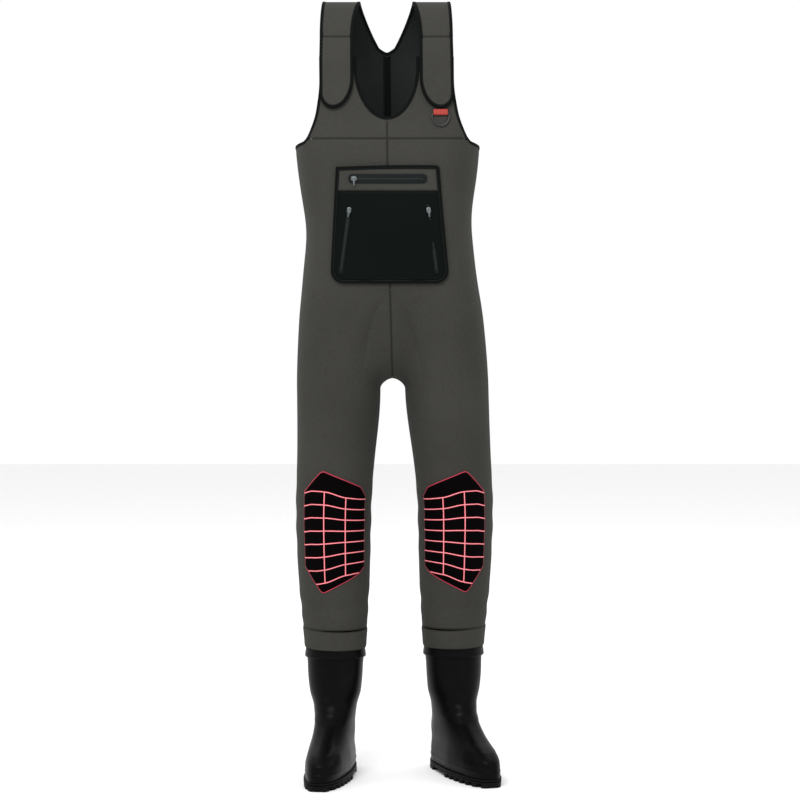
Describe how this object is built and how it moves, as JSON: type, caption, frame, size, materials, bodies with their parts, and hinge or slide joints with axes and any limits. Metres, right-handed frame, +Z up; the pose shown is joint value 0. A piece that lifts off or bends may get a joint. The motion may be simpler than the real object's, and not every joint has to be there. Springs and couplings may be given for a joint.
{
  "type": "chest waders",
  "caption": "Neoprene chest waders with shoulder straps, a zipped front pocket, padded knees and attached rubber boots.",
  "frame": {"origin": "midway between the undersides of the two shoulder straps where they rest on the shoulders", "axes": "+Z up the wearer, -Y is the wearer's front, +X is the wearer's left"},
  "size_m": [0.4017, 0.3349, 1.5208],
  "materials": {
    "neoprene": "matte knit-faced neoprene",
    "binding": "matte black edge tape",
    "lining": "black jersey",
    "pocket": "black face cloth",
    "kneepad": "black quilted pad with red lines",
    "webbing": "orange-red woven webbing",
    "zip": "coated zip tape",
    "metal": "blackened metal",
    "rubber": "satin black rubber",
    "sole": "matte black cleated rubber"
  },
  "bodies": {
    "bib": {"front_panel_left": "neoprene", "yoke_left": "neoprene", "back_panel_left": "neoprene", "hip_left": "neoprene", "armhole_binding_left": "binding", "loop_pad_left": "binding", "side_left_zip_tape": "zip", "front_panel_right": "neoprene", "yoke_right": "neoprene", "back_panel_right": "neoprene", "hip_right": "neoprene", "armhole_binding_right": "binding", "loop_pad_right": "binding", "side_right_zip_tape": "zip", "neckline_binding": "binding", "back_neck_binding": "binding", "back_seam_tape": "binding", "pocket_lining": "lining", "pocket_front": "pocket", "pocket_top_panel": "neoprene", "pocket_binding": "binding", "pocket_top_binding": "binding", "top_zip_tape": "zip", "webbing_tab": "webbing"},
    "d_ring": {"d_ring": "metal"},
    "top_slider": {"top_zip_slider": "metal"},
    "top_puller": {"top_zip_puller": "metal"},
    "side_slider_left": {"side_left_zip_slider": "metal"},
    "side_puller_left": {"side_left_zip_puller": "metal"},
    "strap_end_left": {"strap_left": "neoprene", "strap_binding_left": "binding", "hook_pad_left": "binding"},
    "thigh_left": {"thigh_left": "neoprene", "knee_sleeve_left": "neoprene", "knee_pad_left": "kneepad"},
    "shin_left": {"shin_left": "neoprene", "cuff_left": "neoprene", "boot_collar_left": "rubber", "boot_shaft_left": "rubber", "boot_ankle_left": "rubber"},
    "foot_left": {"boot_foot_left": "rubber", "outsole_left": "sole", "insole_left": "lining"},
    "side_slider_right": {"side_right_zip_slider": "metal"},
    "side_puller_right": {"side_right_zip_puller": "metal"},
    "strap_end_right": {"strap_right": "neoprene", "strap_binding_right": "binding", "hook_pad_right": "binding"},
    "thigh_right": {"thigh_right": "neoprene", "knee_sleeve_right": "neoprene", "knee_pad_right": "kneepad"},
    "shin_right": {"shin_right": "neoprene", "cuff_right": "neoprene", "boot_collar_right": "rubber", "boot_shaft_right": "rubber", "boot_ankle_right": "rubber"},
    "foot_right": {"boot_foot_right": "rubber", "outsole_right": "sole", "insole_right": "lining"}
  },
  "joints": [
    {"name": "hip_left_bend", "type": "hinge", "parent": "bib", "child": "thigh_left", "pos_m": [0.1185, 0, -0.6645], "axis": [-1, 0, 0], "range_deg": [-15, 90], "stiffness_Nm_per_rad": 12, "deforming": ["hip_left"]},
    {"name": "knee_left_bend", "type": "hinge", "parent": "thigh_left", "child": "shin_left", "pos_m": [0.137, 0.0054, -1.0155], "axis": [1, 0, 0], "range_deg": [0, 100], "stiffness_Nm_per_rad": 6, "deforming": ["knee_sleeve_left", "knee_pad_left"]},
    {"name": "ankle_left_flex", "type": "hinge", "parent": "shin_left", "child": "foot_left", "pos_m": [0.133, 0.01365, -1.4035], "axis": [-0.9397, -0.342, 0], "range_deg": [-12, 18], "stiffness_Nm_per_rad": 15, "deforming": ["boot_ankle_left"]},
    {"name": "strap_left_lift", "type": "hinge", "parent": "bib", "child": "strap_end_left", "pos_m": [0.09672, -0.0817, -0.0704], "axis": [-1, 0, 0], "range_deg": [0, 120]},
    {"name": "side_zip_left_slide", "type": "slide", "parent": "bib", "child": "side_slider_left", "axis": [0.1331, 0, -0.9911], "range_m": [0, 0.112]},
    {"name": "side_puller_left_tilt", "type": "hinge", "parent": "side_slider_left", "child": "side_puller_left", "pos_m": [0.08148, -0.12355, -0.40452], "axis": [-0.9911, 0, -0.1331], "range_deg": [0, 90]},
    {"name": "hip_right_bend", "type": "hinge", "parent": "bib", "child": "thigh_right", "pos_m": [-0.0975, 0, -0.6645], "axis": [-1, 0, 0], "range_deg": [-15, 90], "stiffness_Nm_per_rad": 12, "deforming": ["hip_right"]},
    {"name": "knee_right_bend", "type": "hinge", "parent": "thigh_right", "child": "shin_right", "pos_m": [-0.105, -0.0054, -1.0155], "axis": [1, 0, 0], "range_deg": [0, 100], "stiffness_Nm_per_rad": 6, "deforming": ["knee_sleeve_right", "knee_pad_right"]},
    {"name": "ankle_right_flex", "type": "hinge", "parent": "shin_right", "child": "foot_right", "pos_m": [-0.101, -0.01365, -1.4035], "axis": [-0.9903, 0.1392, 0], "range_deg": [-12, 18], "stiffness_Nm_per_rad": 15, "deforming": ["boot_ankle_right"]},
    {"name": "strap_right_lift", "type": "hinge", "parent": "bib", "child": "strap_end_right", "pos_m": [-0.09628, -0.0817, -0.0704], "axis": [-1, 0, 0], "range_deg": [0, 120]},
    {"name": "side_zip_right_slide", "type": "slide", "parent": "bib", "child": "side_slider_right", "axis": [-0.1331, 0, -0.9911], "range_m": [0, 0.112]},
    {"name": "side_puller_right_tilt", "type": "hinge", "parent": "side_slider_right", "child": "side_puller_right", "pos_m": [-0.07095, -0.12355, -0.40452], "axis": [-0.9911, 0, 0.1331], "range_deg": [0, 90]},
    {"name": "top_zip_slide", "type": "slide", "parent": "bib", "child": "top_slider", "axis": [1, 0, 0], "range_m": [0, 0.13]},
    {"name": "top_puller_tilt", "type": "hinge", "parent": "top_slider", "child": "top_puller", "pos_m": [-0.06193, -0.12355, -0.344], "axis": [-1, 0, 0], "range_deg": [0, 90]},
    {"name": "d_ring_swing", "type": "hinge", "parent": "bib", "child": "d_ring", "pos_m": [0.10501, -0.10449, -0.22028], "axis": [-1, 0, 0], "range_deg": [0, 140]}
  ]
}
